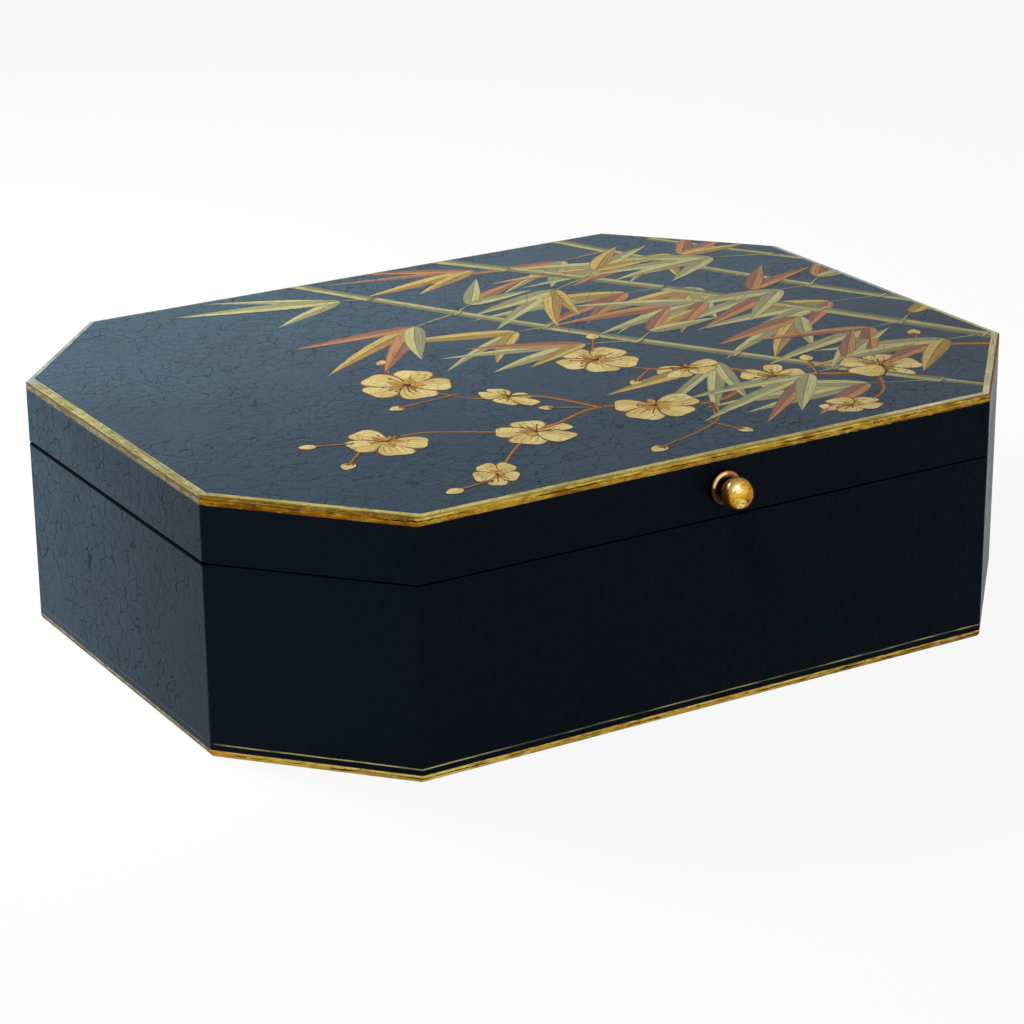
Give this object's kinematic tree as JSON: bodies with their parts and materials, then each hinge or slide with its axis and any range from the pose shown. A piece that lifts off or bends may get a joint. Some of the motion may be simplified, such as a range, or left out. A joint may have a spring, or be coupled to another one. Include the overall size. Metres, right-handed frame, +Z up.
{
  "type": "lacquered box",
  "caption": "Low lacquered wooden box with clipped corners, a gilt-edged painted lid on rear hinges and a brass ball knob to lift it.",
  "frame": {"origin": "centre of the flat underside that the box rests on", "axes": "+X to the right along the front, +Y from the knob side to the hinge side, +Z up"},
  "size_m": [0.318, 0.2578, 0.089],
  "materials": {
    "lacquer": "satin blue-black lacquer, finely crackled",
    "lid_lacquer": "satin blue-black lacquer with a painted plant design and a gilded edge",
    "gilded_board": "lacquered board with a worn gilded edge",
    "lining_cloth": "faded silk over card",
    "pad_cloth": "faded silk, padded",
    "hinge_brass": "aged brass",
    "screw_brass": "aged brass",
    "knob_brass": "polished brass, spotted"
  },
  "bodies": {
    "base": {"bottom_board": "gilded_board", "front_wall": "lacquer", "front_right_wall": "lacquer", "right_wall": "lacquer", "rear_right_wall": "lacquer", "rear_wall": "lacquer", "rear_left_wall": "lacquer", "left_wall": "lacquer", "front_left_wall": "lacquer", "base_lining": "lining_cloth", "floor_pad": "pad_cloth", "left_hinge_base_leaf": "hinge_brass", "right_hinge_base_leaf": "hinge_brass", "left_hinge_pin": "hinge_brass", "right_hinge_pin": "hinge_brass", "base_hinge_screws": "screw_brass"},
    "lid": {"lid_board": "lid_lacquer", "front_rail": "lacquer", "front_right_rail": "lacquer", "right_rail": "lacquer", "rear_right_rail": "lacquer", "rear_rail": "lacquer", "rear_left_rail": "lacquer", "left_rail": "lacquer", "front_left_rail": "lacquer", "lid_lining": "lining_cloth", "lid_pad": "pad_cloth", "left_hinge_lid_leaf": "hinge_brass", "right_hinge_lid_leaf": "hinge_brass", "lid_hinge_screws": "screw_brass", "knob_collar": "knob_brass", "lid_knob": "knob_brass", "knob_nut": "knob_brass"}
  },
  "joints": [
    {"name": "lid_hinge", "type": "hinge", "parent": "base", "child": "lid", "pos_m": [0, 0.1198, 0.0672], "axis": [-1, 0, 0], "range_deg": [0, 95]}
  ]
}
